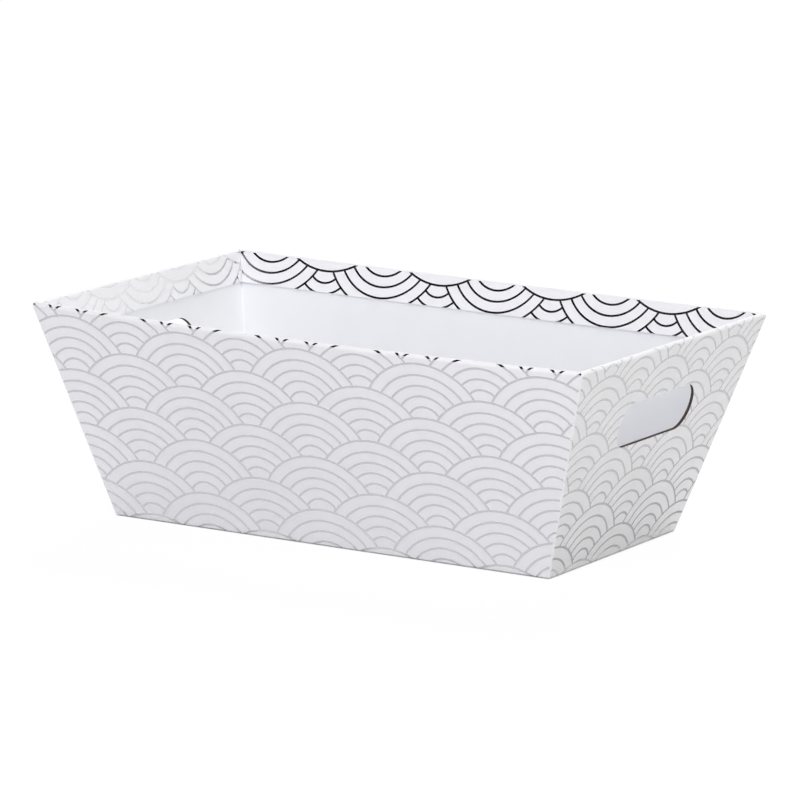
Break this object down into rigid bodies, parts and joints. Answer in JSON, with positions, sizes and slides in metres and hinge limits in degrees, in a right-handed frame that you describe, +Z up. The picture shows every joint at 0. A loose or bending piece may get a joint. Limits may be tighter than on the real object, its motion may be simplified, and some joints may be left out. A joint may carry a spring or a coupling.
{
  "type": "rectangular catering tray",
  "caption": "Open rectangular tray folded from thin corrugated board, with sloping walls, a turned-over rim and a rounded hand hole in each end wall.",
  "frame": {"origin": "middle of the flat underside", "axes": "+X along the tray, towards one hand hole; +Y across it; +Z up"},
  "size_m": [0.3174, 0.2132, 0.113],
  "materials": {
    "board": "satin white printed paper outside, matt white inside, brown corrugated core at the cut edges",
    "silver_print": "thin lines of silver foil in a pattern of overlapping waves"
  },
  "bodies": {
    "root": {"tray": "board"}
  },
  "joints": []
}
